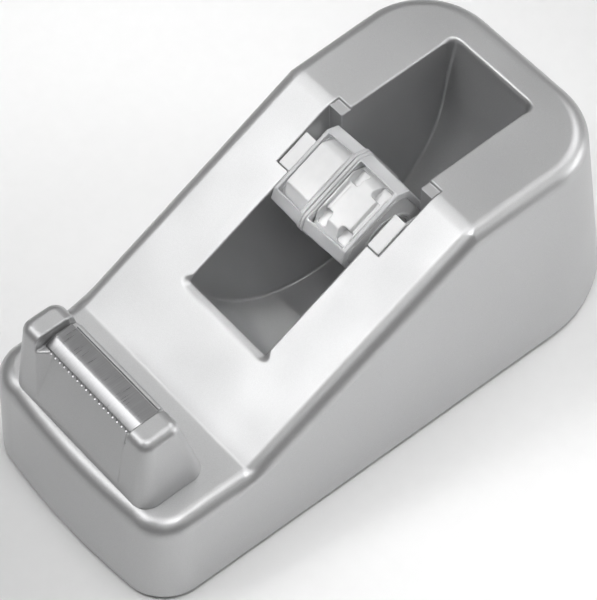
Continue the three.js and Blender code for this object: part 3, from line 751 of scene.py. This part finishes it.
def copies(name, distance, low, high, pitch, nodes, turn=False):
    """One mesh, shown at each of those nodes' places."""
    first = surface_piece(name, distance, low, high, pitch)
    pieces = []
    for node in nodes:
        node_low, node_high = box_mm(node)
        middle = (node_low + node_high) / 2
        piece = bpy.data.objects.new(f"{node}_detail", first.data)
        bpy.context.scene.collection.objects.link(piece)
        piece.location = Vector((middle[0], middle[1], node_low[2])) * MM
        if turn:
            piece.rotation_euler.z = 0.4 + 1.1 * len(pieces)
        pieces.append(piece)
    bpy.data.objects.remove(first)
    return pieces


def foot_distance(x, y, z):
    """A round rubber foot at the origin, its sole at z 0, slightly dished."""
    away = np.hypot(x, y)
    dish = 0.12 * np.clip(1 - (away / (FOOT_RADIUS - 1.2)) ** 2, 0, 1)
    return round_cut(away - FOOT_RADIUS, np.maximum(dish - z, z - FOOT_HEIGHT), 0.35)


def ballast_distance(node):
    low, high = box_mm(node)
    middle, half = (low + high) / 2, (high - low) / 2

    def distance(x, y, z):
        draft = 0.02 * (z - low[2])
        plan = rectangle(x - middle[0], y - middle[1], half[0] - draft, half[1] - draft, 1.2)
        return round_cut(plan, slab(z, low[2], high[2]), 0.7)

    return distance


# ---- materials ----------------------------------------------------------------------------------
def new_material(name):
    material = bpy.data.materials.new(name)
    material.use_nodes = True
    nodes = material.node_tree.nodes
    return material, nodes, material.node_tree.links, nodes["Principled BSDF"]


def noise(nodes, links, scale, detail=4.0, stretch=(1, 1, 1)):
    """A noise texture in the object's own coordinates; scale is in features per metre."""
    place = nodes.new("ShaderNodeTexCoord")
    mapping = nodes.new("ShaderNodeMapping")
    mapping.inputs["Scale"].default_value = stretch
    texture = nodes.new("ShaderNodeTexNoise")
    texture.inputs["Scale"].default_value = scale
    texture.inputs["Detail"].default_value = detail
    links.new(place.outputs["Object"], mapping.inputs["Vector"])
    links.new(mapping.outputs["Vector"], texture.inputs["Vector"])
    return texture.outputs["Fac"]


def ramp_between(nodes, links, value, low, high):
    """Maps a 0 to 1 value onto low to high."""
    spread = nodes.new("ShaderNodeMapRange")
    spread.inputs["From Min"].default_value = 0.3
    spread.inputs["From Max"].default_value = 0.7
    spread.inputs["To Min"].default_value = low
    spread.inputs["To Max"].default_value = high
    links.new(value, spread.inputs["Value"])
    return spread.outputs["Result"]


def tint_between(nodes, links, value, dark, light):
    mix = nodes.new("ShaderNodeMix")
    mix.data_type = "RGBA"
    mix.inputs["A"].default_value = (*dark, 1)
    mix.inputs["B"].default_value = (*light, 1)
    links.new(value, mix.inputs["Factor"])
    return mix.outputs["Result"]


def add_bump(nodes, links, shader, height, distance_mm, strength=1.0):
    bump = nodes.new("ShaderNodeBump")
    bump.inputs["Strength"].default_value = strength
    bump.inputs["Distance"].default_value = distance_mm * MM
    links.new(height, bump.inputs["Height"])
    links.new(bump.outputs["Normal"], shader.inputs["Normal"])


def silver_paint():
    """Satin metallic paint: fine flakes, a faint orange peel and uneven gloss."""
    material, nodes, links, shader = new_material("silver_paint")
    flakes = noise(nodes, links, 9000, 2)
    patches = noise(nodes, links, 60, 5)
    peel = noise(nodes, links, 1100, 2)
    shader.inputs["Metallic"].default_value = 0.72
    colour = tint_between(nodes, links, flakes, (0.46, 0.462, 0.466), (0.66, 0.662, 0.666))
    links.new(colour, shader.inputs["Base Color"])
    links.new(ramp_between(nodes, links, patches, 0.38, 0.44), shader.inputs["Roughness"])
    add_bump(nodes, links, shader, peel, 0.004, 0.35)
    return material


def clear_plastic(name, transmission, dark, light, gloss, peel_mm):
    """Moulded plastic that lets light through, with a slight haze and uneven gloss."""
    material, nodes, links, shader = new_material(name)
    haze = noise(nodes, links, 400, 4)
    links.new(tint_between(nodes, links, haze, dark, light), shader.inputs["Base Color"])
    shader.inputs["Transmission Weight"].default_value = transmission
    shader.inputs["IOR"].default_value = 1.49
    links.new(ramp_between(nodes, links, haze, *gloss), shader.inputs["Roughness"])
    add_bump(nodes, links, shader, haze, peel_mm, 0.3)
    return material


def brushed_steel():
    """Rolled strip steel, brushed from front to rear."""
    material, nodes, links, shader = new_material("brushed_steel")
    streaks = noise(nodes, links, 900, 6, stretch=(6, 0.25, 0.25))
    shader.inputs["Metallic"].default_value = 1.0
    colour = tint_between(nodes, links, streaks, (0.27, 0.27, 0.275), (0.40, 0.40, 0.405))
    links.new(colour, shader.inputs["Base Color"])
    links.new(ramp_between(nodes, links, streaks, 0.27, 0.33), shader.inputs["Roughness"])
    add_bump(nodes, links, shader, streaks, 0.0004, 0.1)
    return material


def plain_finish(name, dark, light, metallic, gloss, grain, bump_mm):
    """A finish with grain: colour, gloss and bump follow the same noise."""
    material, nodes, links, shader = new_material(name)
    spots = noise(nodes, links, grain, 6)
    shader.inputs["Metallic"].default_value = metallic
    links.new(tint_between(nodes, links, spots, dark, light), shader.inputs["Base Color"])
    links.new(ramp_between(nodes, links, spots, *gloss), shader.inputs["Roughness"])
    add_bump(nodes, links, shader, spots, bump_mm, 0.6)
    return material


# ---- the pieces ---------------------------------------------------------------------------------
silver = silver_paint()
clear = clear_plastic("clear_plastic", 0.55, (0.93, 0.94, 0.95), (0.99, 0.99, 1.0), (0.03, 0.09), 0.004)
frosted = clear_plastic(
    "frosted_plastic", 0.12, (0.86, 0.865, 0.87), (0.97, 0.97, 0.97), (0.12, 0.22), 0.006
)
steel = brushed_steel()
dark_plastic = plain_finish(
    "dark_plastic", (0.018, 0.018, 0.02), (0.04, 0.04, 0.042), 0.0, (0.5, 0.62), 2500, 0.02
)
cast_iron = plain_finish(
    "cast_iron", (0.05, 0.05, 0.053), (0.13, 0.13, 0.135), 0.85, (0.55, 0.75), 1500, 0.05
)
zinc = plain_finish("zinc_plate", (0.42, 0.43, 0.45), (0.6, 0.6, 0.6), 1.0, (0.25, 0.4), 1200, 0.004)
rubber = plain_finish(
    "foot_rubber", (0.012, 0.012, 0.012), (0.03, 0.03, 0.03), 0.0, (0.7, 0.9), 3000, 0.02
)


def room_round(node, margin=np.array([1.5, 0.5, 0.5])):
    """A CAD node's box with a margin round it, in millimetres."""
    low, high = box_mm(node)
    return low - margin, high + margin


def dress(piece, material, body, slot, *nodes):
    """Gives a piece its material, the body it moves with and the CAD nodes it stands for."""
    piece.data.materials.clear()
    piece.data.materials.append(material)
    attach(piece, body)
    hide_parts(*nodes)


body = surface_piece("body_moulding", body_distance, BODY_LOW, BODY_HIGH, keep=0.23)
dress(body, silver, "housing", "silver_plastic", "body_shell")

head_low = HEAD_LOW - (0, 0, 0.5)
head = surface_piece("head_moulding", head_distance, head_low, HEAD_HIGH, FINE + 0.04, keep=0.4)
dress(head, silver, "housing", "silver_plastic", "cutter_head")

dress(cutter_blade(), steel, "housing", "blade_steel", "cutter_blade")

for side, word in ((-1, "left"), (1, "right")):
    low, high = room_round(f"drum_half_{word}")
    cup = surface_piece(f"drum_cup_{word}", drum_distance(side), low, high, FINE)
    dress(cup, clear, "hub_drum", "clear_plastic", f"drum_half_{word}")
    core = surface_piece(f"drum_core_{word}", core_distance(side), low, high, FINE)
    dress(core, frosted, "hub_drum", "clear_plastic", f"drum_half_{word}")
    lug_room = room_round(f"axle_lug_{word}")
    lug = surface_piece(f"lug_block_{word}", lug_distance(side), *lug_room, FINE)
    dress(lug, frosted, "hub_carrier", "clear_plastic", f"axle_lug_{word}")

axle = surface_piece("axle_rod", axle_distance, AXLE_LOW, AXLE_HIGH, FINE)
dress(axle, clear, "hub_carrier", "clear_plastic", "hub_axle")

plate_high = (*PLATE_HIGH[:2], PLATE_TOP_Z)
plate = surface_piece("base_cover", plate_distance, PLATE_LOW, plate_high, PITCH + 0.1, keep=0.3)
dress(plate, dark_plastic, "housing", "base_plastic", "base_plate")

screw_nodes = [f"base_screw_{corner}" for corner in CORNERS] + ["head_screw_left", "head_screw_right"]
reach = SCREW_HEAD + 0.2
screws = copies(
    "screw", screw_distance, (-reach, -reach, 0), (reach, reach, SCREW_LENGTH), FINE, screw_nodes, turn=True
)
for piece, node in zip(screws, screw_nodes):
    dress(piece, zinc, "housing", "screw_steel", node)

foot_nodes = [f"rubber_foot_{corner}" for corner in CORNERS]
reach = FOOT_RADIUS + 0.2
feet = copies("foot", foot_distance, (-reach, -reach, 0), (reach, reach, FOOT_HEIGHT), FINE, foot_nodes)
for piece, node in zip(feet, foot_nodes):
    dress(piece, rubber, "housing", "foot_rubber", node)

for word in ("left", "right"):
    node = f"ballast_{word}"
    bar = surface_piece(f"{node}_casting", ballast_distance(node), *box_mm(node), 0.7)
    dress(bar, cast_iron, "housing", "ballast_iron", node)


# ---- stage, lights and camera -------------------------------------------------------------------
CENTRE = Vector((0, 0, 22 * MM))
CAMERA_PLACE = Vector((285.7, -229.17, 531.09)) * MM
CAMERA_ANGLES = [math.radians(degrees) for degrees in (-38.095, 54.561, -2.098)]


def floor():
    mesh = bmesh.new()
    bmesh.ops.create_grid(mesh, x_segments=8, y_segments=8, size=3.0)
    piece = piece_from_bmesh("floor", mesh)
    material, nodes, links, shader = new_material("floor_paper")
    spots = noise(nodes, links, 300, 3)
    colour = tint_between(nodes, links, spots, (0.90, 0.90, 0.90), (0.93, 0.93, 0.93))
    links.new(colour, shader.inputs["Base Color"])
    shader.inputs["Roughness"].default_value = 0.9
    shader.inputs["Specular IOR Level"].default_value = 0.1
    piece.data.materials.append(material)


def softbox(name, direction, distance, width, height, power):
    """An area light in that direction from the object, turned towards it."""
    away = Vector(direction).normalized()
    return area_light(name, CENTRE + away * distance, away, width, height, power)


def area_light(name, place, backwards, width, height, power):
    light = bpy.data.lights.new(name, "AREA")
    light.shape = "RECTANGLE"
    light.size = width
    light.size_y = height
    light.energy = power
    lamp = bpy.data.objects.new(name, light)
    lamp.location = place
    lamp.rotation_mode = "QUATERNION"
    lamp.rotation_quaternion = backwards.to_track_quat("Z", "Y")
    bpy.context.scene.collection.objects.link(lamp)
    return light


def floor_light(name, x, y, height, width, length, power, spread):
    """A narrow light straight above the floor beside the object."""
    light = area_light(name, Vector((x, y, height)), Vector((0, 0, 1)), width, length, power)
    light.spread = math.radians(spread)


def surroundings(level):
    world = bpy.data.worlds.new("studio")
    world.use_nodes = True
    background = world.node_tree.nodes["Background"]
    background.inputs["Color"].default_value = (level, level, level, 1)
    bpy.context.scene.world = world


def camera():
    """A long lens above the front right corner, turned by azimuth and elevation, then rolled a little."""
    data = bpy.data.cameras.new("camera")
    data.sensor_width = 36
    data.lens = 194.7
    data.clip_start = 0.01
    data.clip_end = 20
    piece = bpy.data.objects.new("camera", data)
    azimuth, elevation, roll = CAMERA_ANGLES
    flat = math.cos(elevation)
    away = Vector((flat * math.cos(azimuth), flat * math.sin(azimuth), math.sin(elevation)))
    level = Vector((-math.sin(azimuth), math.cos(azimuth), 0))
    right = level * math.cos(roll) + away.cross(level) * math.sin(roll)
    turn = Matrix((right, away.cross(right), away)).transposed().to_4x4()
    piece.matrix_world = Matrix.Translation(CAMERA_PLACE) @ turn
    bpy.context.scene.collection.objects.link(piece)
    bpy.context.scene.camera = piece


floor()
surroundings(0.11)
softbox("ramp_box", (-0.36, -0.43, 0.83), 0.9, 0.35, 0.35, 1.9)
softbox("front_box", (-0.456, -0.70, 0.55), 0.9, 0.3, 0.2, 0.14)
softbox("top_box", (0, 0, 1), 1.0, 0.6, 0.6, 0.9)
softbox("rear_box", (0, 0.7, 0.7), 1.0, 0.5, 0.4, 2.3)
softbox("corner_box", (0.6, 0.85, 0.25), 0.45, 0.2, 0.15, 0.45)
softbox("edge_box", (0.456, -0.358, 0.815), 1.1, 0.3, 0.3, 0.55)
softbox("side_box", (0.6, 0.5, 0.6), 1.0, 0.3, 0.3, 0.65)
floor_light("floor_right", 0.11, -0.01, 0.35, 0.08, 0.2, 0.06, 50)
floor_light("floor_left", -0.10, 0.02, 0.30, 0.10, 0.14, 0.05, 60)
floor_light("well_front", 0.0, -0.011, 0.35, 0.01, 0.012, 0.0011, 5)
floor_light("well_rear", 0.0, 0.033, 0.35, 0.01, 0.012, 0.0005, 5)
camera()
bpy.context.scene.view_settings.view_transform = "Standard"
